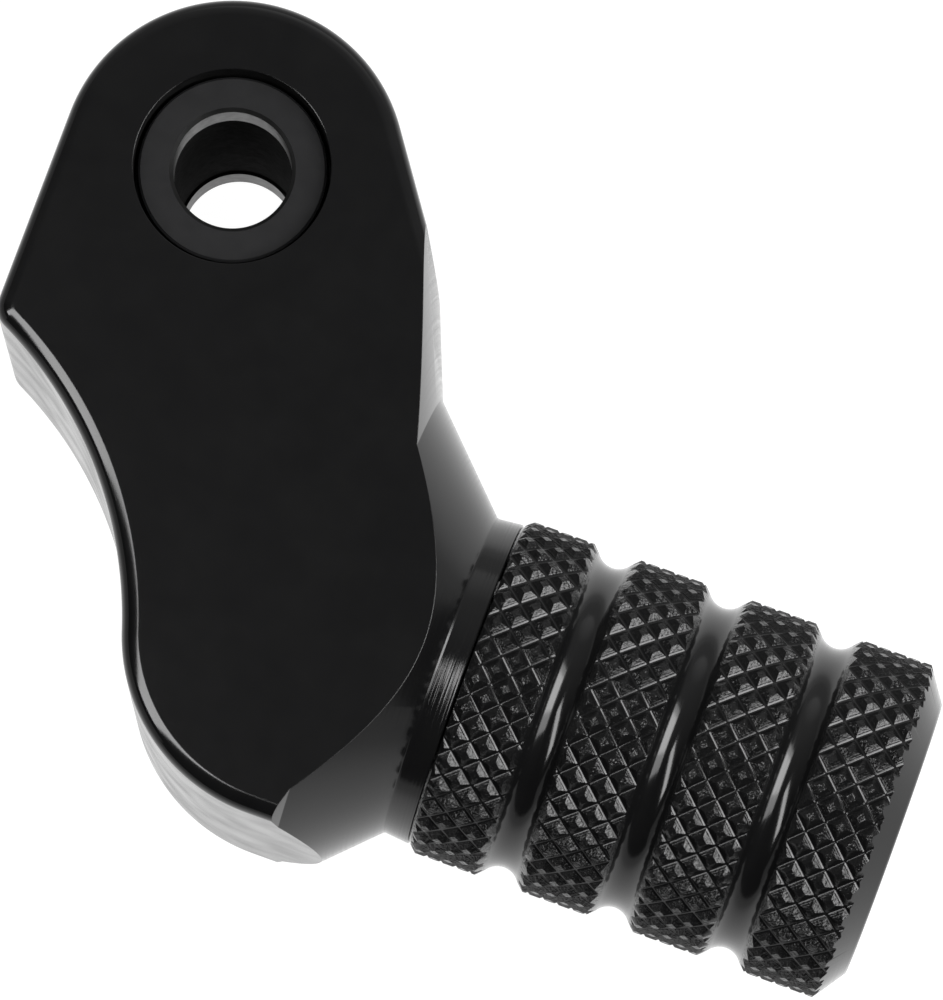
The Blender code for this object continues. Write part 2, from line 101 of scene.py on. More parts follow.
SPIGOT_RADIUS = 4.8 * mm

# Peg
KNURL_STARTS = 36
KNURL_DEPTH = 0.31 * mm
KNURL_FLOOR = 0.09                  # half width of a groove's round floor, as a share of the pitch
KNURL_TOP = 0.33                    # where a diamond's flat top begins, as a share of the pitch
BAND_COUNT = 4
BAND_LENGTH = 3.95 * mm
BAND_PITCH = 6.02 * mm
GROOVE_DEPTH = 0.87 * mm
BAND_EDGE_DEPTH = 0.33 * mm         # each band's edges are beaten down below the knurl's floor
BAND_EDGE_SLOPE = radians(42)
PROUD = 0.5 * mm                    # how far the turned blank stands outside the knurl's crests
PEG_END_RADIUS = 7.4 * mm
HEAD_POCKET_RADIUS = 5.4 * mm
SCREW_HOLE_RADIUS = 3.3 * mm

# Peg screw
SCREW_RADIUS = 3.0 * mm
SCREW_CHAMFER = 0.4 * mm
SCREW_TIP_CHAMFER = 0.8 * mm
SCREW_KEY_WIDTH = 5.0 * mm
SCREW_KEY_DEPTH = 3.2 * mm

# Return spring and stop
WIRE_RADIUS = 0.6 * mm
COIL_RADIUS = 5.0 * mm
COIL_TURNS = 3.25
LEG_BEND = 0.7 * mm
TANG_LENGTH = 1.3 * mm
SPRING_TANG_ANGLE = radians(90)
FOLD_RANGE = radians(90)
STOP_NOTCH_RADIUS = 5.85 * mm

# Pivot stack
FLANGE_THICKNESS = 0.8 * mm
PIVOT_BORE = 3.0 * mm               # radius of the bore's two lands
BORE_MOUTH = 0.2 * mm               # chamfer at both ends of the bore
BORE_RELIEF = 3.15 * mm             # radius between the lands
FRONT_LAND = 2.2 * mm
REAR_LAND = 2.2 * mm
FRONT_POCKET = (5.0 * mm, 15.6 * mm)    # radius, and the height of the floor or roof
BUSH_BORE = 4.7 * mm
SPRING_POCKET = (5.8 * mm, 7.9 * mm)
PLATE_POCKET = (7.7 * mm, 2.4 * mm)
SHANK_RADIUS = 3.8 * mm
PLATE_SEAT_RADIUS = 3.5 * mm

# Finishes
ANODISE_IOR = 1.45
# Painted shade: the shoulder and cone get a lower IOR, so they mirror less than the same finish
# elsewhere.
CONE_IOR = 1.36                     # the arm's shoulder and cone are duller than the rest
SOFT_EDGE = 0.05 * mm               # radius of the shading over sharp machined edges

# Sides of round pieces
ENVELOPE_SIDES = 256                # the arm's turned surfaces
SIDES = 160                         # the peg, the bores and the pivot's pieces
SCREW_SIDES = 96
HOLE_SIDES = 48


# ---------------------------------------------------------------- shape helpers

def new_object(name, bm, sharp=20):
    bmesh.ops.recalc_face_normals(bm, faces=bm.faces)
    mesh = bpy.data.meshes.new(name)
    bm.to_mesh(mesh)
    bm.free()
    mesh.shade_smooth()
    mesh.set_sharp_from_angle(angle=radians(sharp))
    obj = bpy.data.objects.new(name, mesh)
    bpy.context.scene.collection.objects.link(obj)
    return obj


def on_peg_axis(obj):
    """Lay an object that was turned about local Z along the peg's axis, +Z towards the free end."""
    obj.data.transform(Matrix.Translation((0, PEG_Y, PEG_Z)) @ Matrix.Rotation(pi / 2, 4, "Y"))
    return obj


def apply_modifiers(obj):
    """Replace the object's mesh with what its modifiers make of it."""
    bpy.context.view_layer.update()
    evaluated = obj.evaluated_get(bpy.context.evaluated_depsgraph_get())
    mesh = bpy.data.meshes.new_from_object(evaluated)
    obj.modifiers.clear()
    obj.data = mesh


def cut(target, cutter, operation="DIFFERENCE"):
    """Apply an exact boolean to the target's mesh and remove the cutter."""
    modifier = target.modifiers.new("cut", "BOOLEAN")
    modifier.operation = operation
    modifier.solver = "EXACT"
    modifier.object = cutter
    apply_modifiers(target)
    bpy.data.objects.remove(cutter)


def shade(obj, sharp):
    """Smooth shading up to an angle, with each vertex normal led by its largest faces."""
    obj.data.shade_smooth()
    obj.data.set_sharp_from_angle(angle=radians(sharp))
    modifier = obj.modifiers.new("normals", "WEIGHTED_NORMAL")
    modifier.keep_sharp = True
    modifier.weight = 100
    apply_modifiers(obj)


def polar(radius, angle):
    return (radius * cos(angle), radius * sin(angle))


def arc(centre, radius, start, end, steps):
    """Points along a circular arc, both ends included."""
    angles = [start + (end - start) * k / steps for k in range(steps + 1)]
    return [(centre[0] + radius * cos(a), centre[1] + radius * sin(a)) for a in angles]


def turned(profile, sides, closed=True):
    """Spin (station, radius) points about local Z: closed for a ring, open for a solid."""
    bm = bmesh.new()
    verts = [bm.verts.new((radius, 0, station)) for station, radius in profile]
    pairs = list(zip(verts, verts[1:]))
    if closed:
        pairs.append((verts[-1], verts[0]))
    edges = [bm.edges.new(pair) for pair in pairs]
    bmesh.ops.spin(bm, geom=verts + edges, axis=(0, 0, 1), cent=(0, 0, 0),
                   angle=2 * pi, steps=sides, use_merge=True)
    bmesh.ops.remove_doubles(bm, verts=bm.verts, dist=0.0001 * mm)
    return bm


def prism(outline, bottom, top):
    """Extrude a closed XY outline from one height to another."""
    bm = bmesh.new()
    face = bm.faces.new([bm.verts.new((x, y, bottom)) for x, y in outline])
    raised = bmesh.ops.extrude_face_region(bm, geom=[face])["geom"]
    verts = [item for item in raised if isinstance(item, bmesh.types.BMVert)]
    bmesh.ops.translate(bm, verts=verts, vec=(0, 0, top - bottom))
    return bm


def swept_wire(path, radius, sides):
    """A round wire along a path of points, with flat ends."""
    points = [Vector(p) for p in path]
    tangents = [(points[min(k + 1, len(points) - 1)] - points[max(k - 1, 0)]).normalized()
                for k in range(len(points))]
    across = tangents[0].orthogonal().normalized()
    bm = bmesh.new()
    loops = []
    for point, tangent in zip(points, tangents):
        across = (across - tangent * across.dot(tangent)).normalized()
        up = tangent.cross(across)
        loops.append([bm.verts.new(point + (across * cos(a) + up * sin(a)) * radius)
                      for a in (2 * pi * k / sides for k in range(sides))])
    for low, high in zip(loops, loops[1:]):
        for k in range(sides):
            j = (k + 1) % sides
            bm.faces.new((low[k], low[j], high[j], high[k]))
    bm.faces.new(loops[0])
    bm.faces.new(list(reversed(loops[-1])))
    return bm


# ---------------------------------------------------------------- arm

def arm_outline():
    """The arm seen along the fold axis: round head, flat stop side, hollow waist, round bulge."""
    bulge = (BULGE_X, ARM_LOW.y + BULGE_RADIUS)
    reach = WAIST_RADIUS + BULGE_RADIUS
    waist = (bulge[0] + reach * cos(WAIST_DIRECTION), bulge[1] + reach * sin(WAIST_DIRECTION))
    heel_x = HEEL_ROUND - HEAD_RADIUS
    heel_y = waist[1] + sqrt((WAIST_RADIUS + HEEL_ROUND) ** 2 - (heel_x - waist[0]) ** 2)
    heel_to_waist = atan2(waist[1] - heel_y, waist[0] - heel_x)
    tangent_point = polar(HEAD_RADIUS, SHOULDER_ANGLE)
    clear_x = 12.8 * mm
    run = (clear_x - tangent_point[0]) / sin(SHOULDER_ANGLE)
    clear_y = tangent_point[1] - run * cos(SHOULDER_ANGLE)
    past_peg = 30.0 * mm
    outline = arc((0, 0), HEAD_RADIUS, SHOULDER_ANGLE, pi, 96)
    outline += arc((heel_x, heel_y), HEEL_ROUND, pi, heel_to_waist + 2 * pi, 16)
    outline += arc(waist, WAIST_RADIUS, heel_to_waist + pi, WAIST_DIRECTION - pi, 48)[1:]
    outline += arc(bulge, BULGE_RADIUS, WAIST_DIRECTION, radians(270), 48)[1:]
    outline += [(past_peg, bulge[1] - BULGE_RADIUS), (past_peg, clear_y), (clear_x, clear_y)]
    return outline


def arm_blank():
    """Extruded outline with both long edges rounded."""
    bm = prism(arm_outline(), 0.0, THICKNESS)
    rims = [edge for edge in bm.edges if abs(edge.verts[0].co.z - edge.verts[1].co.z) < NEAR]
    bmesh.ops.bevel(bm, geom=rims, offset=EDGE_FILLET, offset_type="OFFSET", segments=10,
                    profile=0.5, affect="EDGES")
    return bm


def neck_fillet(cone_end):
    """Concave round where the 45 degree cone runs into the neck, as profile points."""
    centre = (cone_end + NECK_FILLET * tan(pi / 8), NECK_START_RADIUS + NECK_FILLET)
    return arc(centre, NECK_FILLET, radians(225), radians(270), 6)


def arm_envelope():
    """Solid that the lathe leaves about the peg's axis: shoulder, cone, neck and spigot."""
    outer = 32.0 * mm
    behind = -20.0 * mm
    shoulder_station = CONE_TOP[0] - (outer - CONE_TOP[1]) / tan(SHOULDER_SLOPE)
    cone_end = CONE_TOP[0] + CONE_TOP[1] - NECK_START_RADIUS
    profile = [(behind, 0), (behind, outer), (shoulder_station, outer), CONE_TOP]
    profile += neck_fillet(cone_end)
    profile += [(NECK_END - EDGE_BREAK, NECK_END_RADIUS), (NECK_END, NECK_END_RADIUS - EDGE_BREAK),
                (NECK_END, SPIGOT_RADIUS), (SPIGOT_END, SPIGOT_RADIUS), (SPIGOT_END, 0)]
    return turned(profile, ENVELOPE_SIDES, closed=False)


def pivot_bore():
    """Stepped hole through the head, with its rims broken."""
    outside = 2.0 * mm
    return turned([(-outside, 0), (-outside, PLATE_POCKET[0] + EDGE_BREAK + outside),
                   (0, PLATE_POCKET[0] + EDGE_BREAK), (EDGE_BREAK, PLATE_POCKET[0]),
                   (PLATE_POCKET[1], PLATE_POCKET[0]), (PLATE_POCKET[1], SPRING_POCKET[0]),
                   (SPRING_POCKET[1], SPRING_POCKET[0]), (SPRING_POCKET[1], BUSH_BORE),
                   (FRONT_POCKET[1], BUSH_BORE), (FRONT_POCKET[1], FRONT_POCKET[0]),
                   (THICKNESS - FINE_BREAK, FRONT_POCKET[0]),
                   (THICKNESS, FRONT_POCKET[0] + FINE_BREAK),
                   (THICKNESS + outside, FRONT_POCKET[0] + FINE_BREAK + outside),
                   (THICKNESS + outside, 0)], SIDES, closed=False)


def spring_tang_slot():
    """Radial slot in the spring pocket's wall that takes the spring's outer leg."""
    left, right = LEG_BEND - WIRE_RADIUS - 2 * GAP, LEG_BEND + WIRE_RADIUS + 2 * GAP
    inner, outer = SPRING_POCKET[0] - PAST, COIL_RADIUS + LEG_BEND + TANG_LENGTH + 3 * GAP
    bm = prism([(inner, left), (outer, left), (outer, right), (inner, right)],
               PLATE_POCKET[1] - PAST, SPRING_POCKET[1] - GAP)
    turn = Matrix.Rotation(SPRING_TANG_ANGLE, 3, "Z")
    bmesh.ops.rotate(bm, verts=bm.verts, cent=(0, 0, 0), matrix=turn)
    return bm


def drill(start, end, radius, sides=HOLE_SIDES):
    """Plain cylinder about local Z that cuts a hole."""
    return turned([(start, 0), (start, radius), (end, radius), (end, 0)], sides, closed=False)


def stop_pin_hole():
    pin = (PIN_LOW + PIN_HIGH) / 2
    bm = drill(PLATE_POCKET[1] - PAST, PIN_HIGH.z + GAP, (PIN_HIGH.x - PIN_LOW.x) / 2 + GAP / 2)
    bmesh.ops.translate(bm, verts=bm.verts, vec=(pin.x, pin.y, 0))
    return new_object("pin_cutter", bm)


def screw_hole():
    bm = drill(SCREW_LOW.x - PAST, SPIGOT_END + PAST, SCREW_RADIUS + GAP / 2)
    return on_peg_axis(new_object("screw_cutter", bm))


def dowel_hole():
    """Hole for the dowel through the joint between the arm and the peg."""
    dowel = (DOWEL_LOW + DOWEL_HIGH) / 2
    bm = drill(DOWEL_LOW.x - GAP, DOWEL_HIGH.x + GAP, (DOWEL_HIGH.y - DOWEL_LOW.y) / 2 + GAP / 2)
    cutter = on_peg_axis(new_object("dowel_cutter", bm))
    cutter.data.transform(Matrix.Translation((0, dowel.y - PEG_Y, dowel.z - PEG_Z)))
    return cutter


def finish_arm_faces(arm):
    """Give each of the arm's faces the finish that its way of machining leaves; the pocket walls get
    painted shade instead.
    """
    paint(arm, milled_anodise(), turned_anodise(), neck_anodise(), profiled_anodise(),
          painted_shade_recess())
    milled, turned_face, neck, profiled, recess = range(5)
    envelope_margin = 0.3 * mm
    for face in arm.data.polygons:
        x, radius = face.center.x, (face.center.yz - Vector((PEG_Y, PEG_Z))).length
        if x < CONE_TOP[0]:
            envelope = CONE_TOP[1] + (CONE_TOP[0] - x) * tan(SHOULDER_SLOPE)
        else:
            envelope = max(CONE_TOP[1] - (x - CONE_TOP[0]), NECK_RADIUS)
        tilt = abs(face.normal.z)           # 1 on a level face and 0 on an upright one
        if (radius > envelope - envelope_margin and tilt < 0.999) or x > NECK_END - EDGE_BREAK:
            face.material_index = neck if x > NECK_START else turned_face
        # painted shade: the pocket walls are made almost black
        elif face.center.xy.length < PLATE_POCKET[0] + GAP and tilt < 0.5:
            face.material_index = recess
        elif tilt < 0.05:
            face.material_index = profiled
        else:
            face.material_index = milled


def make_arm():
    arm = new_object("arm_body", arm_blank())
    cut(arm, on_peg_axis(new_object("arm_envelope", arm_envelope())), "INTERSECT")
    cut(arm, new_object("bore_cutter", pivot_bore()))
    cut(arm, new_object("tang_cutter", spring_tang_slot()))
    cut(arm, stop_pin_hole())
    cut(arm, screw_hole())
    cut(arm, dowel_hole())
    shade(arm, 18)
    finish_arm_faces(arm)
    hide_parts("arm")
    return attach(arm, "tip")


# ---------------------------------------------------------------- knurled peg

def knurl_height(share):
    """Height below the crest across one groove; share runs from 0 to 1 between two groove centres.

    Flanks are straight and the floor is a parabola that runs into them.
    """
    away = min(share, 1 - share)
    slope = KNURL_DEPTH / (KNURL_TOP - KNURL_FLOOR / 2)
    if away >= KNURL_TOP:
        return 0.0
    if away >= KNURL_FLOOR:
        return -slope * (KNURL_TOP - away)
    return -slope * (KNURL_TOP - KNURL_FLOOR / 2 - away ** 2 / (2 * KNURL_FLOOR))


def knurl_blank():
    """Rod with raised diamonds between two families of grooves at 45 degrees to its axis.

    A point is placed by p and q, which count the grooves of each family that it has passed.
    Both grow by KNURL_STARTS in one turn, their sum runs round the rod and their difference along it.
    """
    pitch = 2 * pi * BAND_RADIUS / KNURL_STARTS
    half = [0, KNURL_FLOOR / 2, KNURL_FLOOR, KNURL_TOP]
    shares = half + [1 - share for share in reversed(half[1:])]
    per_pitch = len(shares)
    turn = KNURL_STARTS * per_pitch
    past = 1.5 * mm
    low, high = PEG_START - past, PEG_END + past
    bm = bmesh.new()
    made = {}

    def vertex(p, q):
        key = (p - q, (p + q) % (2 * turn))
        if key not in made:
            share_p, share_q = shares[p % per_pitch], shares[q % per_pitch]
            count_p, count_q = p // per_pitch + share_p, q // per_pitch + share_q
            radius = BAND_RADIUS + min(knurl_height(share_p), knurl_height(share_q))
            angle = pi * (count_p + count_q) / KNURL_STARTS
            made[key] = bm.verts.new((*polar(radius, angle), pitch * (count_p - count_q) / 2))
        return made[key]

    def on_ridge(p, q):
        """True where the two families' flanks meet, which is where a face has to be split."""
        p, q = p % per_pitch, q % per_pitch
        return p == q or p == per_pitch - q

    first = int(2 * (low - past) / pitch) * per_pitch
    last = int(2 * (high + past) / pitch) * per_pitch
    for difference in range(first, last):
        for q in range(turn):
            places = [(q + difference, q), (q + difference + 1, q),
                      (q + difference + 1, q + 1), (q + difference, q + 1)]
            if on_ridge(*places[1]) and on_ridge(*places[3]):
                places = places[1:] + places[:1]
            corners = [vertex(*place) for place in places]
            bm.faces.new(corners[:3])
            bm.faces.new((corners[0], corners[2], corners[3]))
    for station, outward in ((low, -1), (high, 1)):
        bmesh.ops.bisect_plane(bm, geom=bm.verts[:] + bm.edges[:] + bm.faces[:],
                               plane_co=(0, 0, station), plane_no=(0, 0, outward), clear_outer=True)
        rim = [edge for edge in bm.edges if edge.is_boundary
               and all(abs(v.co.z - station) < NEAR for v in edge.verts)]
        bmesh.ops.edgeloop_fill(bm, edges=rim)
    return bm


def groove(station):
    """Round-bottomed groove that starts at a station, as profile points."""
    width = BAND_PITCH - BAND_LENGTH
    radius = (width ** 2 / 4 + GROOVE_DEPTH ** 2) / (2 * GROOVE_DEPTH)
    centre = (station + width / 2, BAND_RADIUS - GROOVE_DEPTH + radius)
    reach = atan2(width / 2, centre[1] - BAND_RADIUS)
    return arc(centre, radius, -pi / 2 - reach, -pi / 2 + reach, 20)


def peg_body():
    """Turned outside and inside of the peg. Its bands stand proud of the knurl that trims them."""
    seat = SPIGOT_END + GAP
    socket = SPIGOT_RADIUS + GAP
    pocket_floor = WASHER_LOW.x - GAP
    pocket_chamfer = 0.4 * mm
    proud = BAND_RADIUS + PROUD
    first_band = NECK_END
    end_break = 0.1 * mm
    last_band_end = first_band + (BAND_COUNT - 1) * BAND_PITCH + BAND_LENGTH
    profile = [(PEG_START, socket), (seat, socket), (seat, SCREW_HOLE_RADIUS),
               (pocket_floor, SCREW_HOLE_RADIUS), (pocket_floor, HEAD_POCKET_RADIUS),
               (PEG_END - pocket_chamfer, HEAD_POCKET_RADIUS),
               (PEG_END, HEAD_POCKET_RADIUS + pocket_chamfer),
               (PEG_END, PEG_END_RADIUS - end_break),
               (PEG_END - end_break, PEG_END_RADIUS + end_break / 2)]
    chamfer_slope = (BAND_RADIUS - PEG_END_RADIUS) / (PEG_END - last_band_end)
    profile.append((last_band_end - PROUD / chamfer_slope, proud))
    shoulder = BAND_RADIUS - BAND_EDGE_DEPTH
    run = (proud - shoulder) / tan(BAND_EDGE_SLOPE)
    for k in reversed(range(BAND_COUNT - 1)):
        points = [p for p in groove(first_band + k * BAND_PITCH + BAND_LENGTH) if p[1] < shoulder]
        profile += [(points[-1][0] + run, proud)] + points[::-1] + [(points[0][0] - run, proud)]
    profile += [(PEG_START + run, proud), (PEG_START, shoulder)]
    return turned(profile, SIDES)


def finish_peg_faces(peg):
    """The knurl's flanks, its crests, and the smooth rest with the knurl's floors."""
    paint(peg, knurl_flanks(), groove_anodise(), knurl_tops())
    flank, smooth, crest = range(3)
    axis = Vector((PEG_Y, PEG_Z))
    crest_rim = BAND_RADIUS - 0.03 * mm
    floor_rim = BAND_RADIUS + knurl_height(KNURL_FLOOR) + 0.005 * mm
    steepest_flank = 0.72               # X part of a unit normal
    for face in peg.data.polygons:
        corners = [(peg.data.vertices[k].co.yz - axis).length for k in face.vertices]
        if min(corners) > crest_rim:
            face.material_index = crest
        elif max(corners) < floor_rim or abs(face.normal.x) > steepest_flank:
            face.material_index = smooth
        else:
            face.material_index = flank


def make_peg():
    peg = new_object("knurled_peg", knurl_blank())
    cut(peg, new_object("peg_turning", peg_body()), "INTERSECT")
    on_peg_axis(peg)
    cut(peg, dowel_hole())
    shade(peg, 35)
    finish_peg_faces(peg)
    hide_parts("toe_peg")
    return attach(peg, "tip")


# ---------------------------------------------------------------- peg screw and lock washer

def make_peg_screw():
    """Socket head screw: chamfered head, hexagon socket with a coned mouth, chamfered tip."""
    top, tip = SCREW_HIGH.x, SCREW_LOW.x
    head_radius = (SCREW_HIGH.y - SCREW_LOW.y) / 2
    under_head = WASHER_HIGH.x + 2 * GAP
    chamfer = SCREW_CHAMFER
    profile = [(tip, 0), (tip, SCREW_RADIUS - SCREW_TIP_CHAMFER),
               (tip + SCREW_TIP_CHAMFER, SCREW_RADIUS), (under_head, SCREW_RADIUS),
               (under_head, head_radius), (top - chamfer, head_radius),
               (top - chamfer / 3, head_radius - chamfer / 3),
               (top, head_radius - chamfer), (top, 0)]
    screw = new_object("socket_screw", turned(profile, SCREW_SIDES, closed=False))
    corner = SCREW_KEY_WIDTH / sqrt(3)
    hexagon = [polar(corner, radians(60 * k)) for k in range(6)]
    cut(screw, new_object("socket_cutter", prism(hexagon, top - SCREW_KEY_DEPTH, top + PAST)))
    deep, above = 0.3 * mm, 0.1 * mm
    mouth = [(top - deep, 0), (top - deep, corner - deep),
             (top + above, corner + above), (top + above, 0)]
    cut(screw, new_object("mouth_cutter", turned(mouth, SCREW_SIDES, closed=False)))
    on_peg_axis(screw)
    shade(screw, 25)
    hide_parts("peg_screw")
    paint(screw, black_oxide())
    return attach(screw, "tip")


# ---------------------------------------------------------------- pivot unit

def make_collar():
    """Sleeve that the lever's bolt clamps: front flange, shank, plate seat and a relieved bore."""
    low, high = COLLAR_LOW.z, COLLAR_HIGH.z
    edge = 0.12 * mm
    flange_low = high - FLANGE_THICKNESS
    seat_top = PLATE_HIGH.z + GAP / 2
    land_low, land_high = low + REAR_LAND, high - FRONT_LAND
    step = BORE_RELIEF - PIVOT_BORE
    mouth = PIVOT_BORE + BORE_MOUTH
    profile = [(low, mouth), (low + BORE_MOUTH, PIVOT_BORE), (land_low, PIVOT_BORE),
               (land_low + step, BORE_RELIEF), (land_high, BORE_RELIEF), (land_high, PIVOT_BORE),
               (high - BORE_MOUTH, PIVOT_BORE), (high, mouth), (high, FLANGE_RADIUS - edge),
               (high - edge, FLANGE_RADIUS)]
    profile += [(flange_low, FLANGE_RADIUS), (flange_low, SHANK_RADIUS), (seat_top, SHANK_RADIUS),
                (seat_top, PLATE_SEAT_RADIUS), (low, PLATE_SEAT_RADIUS)]
    collar = new_object("flanged_collar", turned(profile, SIDES))
    shade(collar, 30)
    paint(collar, black_oxide(), front_land(), relieved_bore_shade(), rear_land(), painted_shade_recess())
    outside, front, relief_face, rear, rim = range(5)
    for face in collar.data.polygons:
        radius, height = face.center.xy.length, face.center.z
        if radius < PIVOT_BORE + NEAR:
            face.material_index = front if height > land_high else rear
        # painted shade: the bore's middle, between the lands, is made almost black
        elif radius < BORE_RELIEF + NEAR and land_low < height < land_high + NEAR:
            face.material_index = relief_face
        elif radius < mouth and height > land_high:
            face.material_index = front
        # painted shade: the flange's rim, sunk in the pocket, is made almost black
        elif radius > FLANGE_RADIUS - NEAR:
            face.material_index = rim
        else:
            face.material_index = outside
    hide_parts("pivot_collar")
    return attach(collar, "pivot")


def make_spring_plate():
    """Disc with the stop pin's notch in its rim and a hole for the spring's inner leg."""
    low, high = PLATE_LOW.z, PLATE_HIGH.z
    rim = 0.15 * mm
    inner, outer = PLATE_SEAT_RADIUS + GAP / 2, PLATE_RADIUS
    plate = new_object("stop_plate", turned(
        [(low, inner + rim), (low + rim, inner), (high - rim, inner), (high, inner + rim),
         (high, outer - rim), (high - rim / 3, outer - rim / 3), (high - rim, outer),
         (low + rim, outer), (low + rim / 3, outer - rim / 3), (low, outer - rim)], SIDES))
    pin = (PIN_LOW + PIN_HIGH) / 2
    pin_angle = atan2(pin.y, pin.x)
    half_pin = atan2((PIN_HIGH.x - PIN_LOW.x) / 2 + GAP, sqrt(pin.x ** 2 + pin.y ** 2))
    start, end = pin_angle - half_pin, pin_angle + FOLD_RANGE + half_pin
    outline = arc((0, 0), STOP_NOTCH_RADIUS, end, start, 48)
    outline += arc((0, 0), PLATE_RADIUS + PAST, start, end, 48)
    cut(plate, new_object("notch_cutter", prism(outline, low - PAST, high + PAST)))
    foot = spring_foot()
    hole = drill(low - PAST, high + PAST, WIRE_RADIUS + GAP, 40)
    bmesh.ops.translate(hole, verts=hole.verts, vec=(foot.x, foot.y, 0))
    cut(plate, new_object("leg_cutter", hole))
    shade(plate, 25)
    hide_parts("spring_plate")
    paint(plate, black_oxide())
    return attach(plate, "pivot")


def coil_start():
    return SPRING_TANG_ANGLE - 2 * pi * COIL_TURNS


def spring_foot():
    """Where the spring's inner leg goes down through the plate."""
    on_coil = Vector((*polar(COIL_RADIUS, coil_start()), 0))
    return on_coil + Vector((*polar(LEG_BEND, coil_start() - pi / 2), 0))


def make_return_spring():
    """Round wire: leg in the plate, bend, right-hand coil, bend, radial leg in the arm's slot."""
    base = PLATE_HIGH.z + WIRE_RADIUS + 1.5 * GAP
    rise = SPRING_HIGH.z - WIRE_RADIUS - base
    steps = ceil(COIL_TURNS * 48)
    bends = [(LEG_BEND * sin(angle), LEG_BEND * (1 - cos(angle)))
             for angle in (pi / 2 * k / 8 for k in range(1, 9))]
    coil = []
    for k in range(steps + 1):
        angle = coil_start() + 2 * pi * COIL_TURNS * k / steps
        coil.append(Vector((*polar(COIL_RADIUS, angle), base + rise * k / steps)))
    backwards = Vector((*polar(1.0, coil_start() - pi / 2), 0))
    down = Vector((0, 0, -1))
    inner_leg = [coil[0] + backwards * ahead + down * aside for ahead, aside in bends]
    foot = inner_leg[-1].copy()
    foot.z = SPRING_LOW.z
    onwards = Vector((*polar(1.0, SPRING_TANG_ANGLE + pi / 2), 0))
    outwards = Vector((*polar(1.0, SPRING_TANG_ANGLE), 0))
    tang = [coil[-1] + onwards * ahead + outwards * aside for ahead, aside in bends]
    path = [foot] + inner_leg[::-1] + coil + tang + [tang[-1] + outwards * TANG_LENGTH]
    spring = new_object("torsion_spring", swept_wire(path, WIRE_RADIUS, 20), 40)
    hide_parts("return_spring")
    paint(spring, wire_steel())
    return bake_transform(spring)


# ---------------------------------------------------------------- materials

def new_material(name, colour, metallic, ior=1.5):
    """Principled material; what doesn't vary over the surface is set on the shader's sockets."""
    material = bpy.data.materials.new(name)
    material.use_nodes = True
    shader = material.node_tree.nodes["Principled BSDF"]
    shader.inputs["Base Color"].default_value = (*colour, 1)
    shader.inputs["Metallic"].default_value = metallic
    shader.inputs["IOR"].default_value = ior
    return material


def add(material, kind, **settings):
    node = material.node_tree.nodes.new(kind)
    for key, value in settings.items():
        setattr(node, key, value)
    return node


def join(material, source, output, target, socket):
    material.node_tree.links.new(source.outputs[output], target.inputs[socket])


def grain(material, size, detail=3.0):
    """Noise whose blotches are about as wide as size, on the object's own coordinates."""
    place = add(material, "ShaderNodeTexCoord")
    noise = add(material, "ShaderNodeTexNoise")
    noise.inputs["Scale"].default_value = 1 / size
    noise.inputs["Detail"].default_value = detail
    join(material, place, "Object", noise, "Vector")
    return noise


def lathe_marks(material, size):
    """Noise drawn out into rings about the peg's axis: it changes along X and hardly around."""
    place = add(material, "ShaderNodeTexCoord")
    parts = add(material, "ShaderNodeSeparateXYZ")
    noise = add(material, "ShaderNodeTexNoise", noise_dimensions="1D")
    noise.inputs["Scale"].default_value = 1 / size
    noise.inputs["Detail"].default_value = 4.0
    join(material, place, "Object", parts, "Vector")
    join(material, parts, "X", noise, "W")
    return noise


def height_marks(material, size):
    """Noise drawn out into contour lines: it changes only with the distance from the peg's axis."""
    place = add(material, "ShaderNodeTexCoord")
    from_axis = add(material, "ShaderNodeVectorMath", operation="SUBTRACT")
    from_axis.inputs[1].default_value = (0, PEG_Y, PEG_Z)
    across = add(material, "ShaderNodeVectorMath", operation="MULTIPLY")
    across.inputs[1].default_value = (0, 1, 1)
    radius = add(material, "ShaderNodeVectorMath", operation="LENGTH")
    noise = add(material, "ShaderNodeTexNoise", noise_dimensions="1D")
    noise.inputs["Scale"].default_value = 1 / size
    noise.inputs["Detail"].default_value = 2.0
    join(material, place, "Object", from_axis, 0)
    join(material, from_axis, "Vector", across, 0)
    join(material, across, "Vector", radius, 0)
    join(material, radius, "Value", noise, "W")
    return noise


def soften_edges(material):
    """Round the shading over the sharp edges, as a light deburring does."""
    edge = add(material, "ShaderNodeBevel")
    edge.samples = 6
    edge.inputs["Radius"].default_value = SOFT_EDGE
    join(material, edge, "Normal", material.node_tree.nodes["Principled BSDF"], "Normal")


def tint(material, noise, dark, light):
    """Base colour that wanders between two tones with the noise."""
    ramp = add(material, "ShaderNodeValToRGB")
    ramp.color_ramp.elements[0].position = 0.3
    ramp.color_ramp.elements[1].position = 0.7
    ramp.color_ramp.elements[0].color = (*dark, 1)
    ramp.color_ramp.elements[1].color = (*light, 1)
    join(material, noise, "Fac", ramp, "Fac")
    shader = material.node_tree.nodes["Principled BSDF"]
    join(material, ramp, "Color", shader, "Base Color")


def roughen(material, noise, low, high):
    """Roughness that wanders between two values with the noise."""
    spread = add(material, "ShaderNodeMapRange")
    spread.inputs["From Min"].default_value = 0.3
    spread.inputs["From Max"].default_value = 0.7
    spread.inputs["To Min"].default_value = low
    spread.inputs["To Max"].default_value = high
    join(material, noise, "Fac", spread, "Value")
    join(material, spread, "Result", material.node_tree.nodes["Principled BSDF"], "Roughness")


def relief(material, noise, depth):
    """Bump of a real depth in metres; a second call adds to the first."""
    shader = material.node_tree.nodes["Principled BSDF"]
    bump = add(material, "ShaderNodeBump")
    bump.inputs["Strength"].default_value = 1.0
    bump.inputs["Distance"].default_value = depth
    join(material, noise, "Fac", bump, "Height")
    before = shader.inputs["Normal"].links
    if before:
        material.node_tree.links.new(before[0].from_socket, bump.inputs["Normal"])
    join(material, bump, "Normal", shader, "Normal")


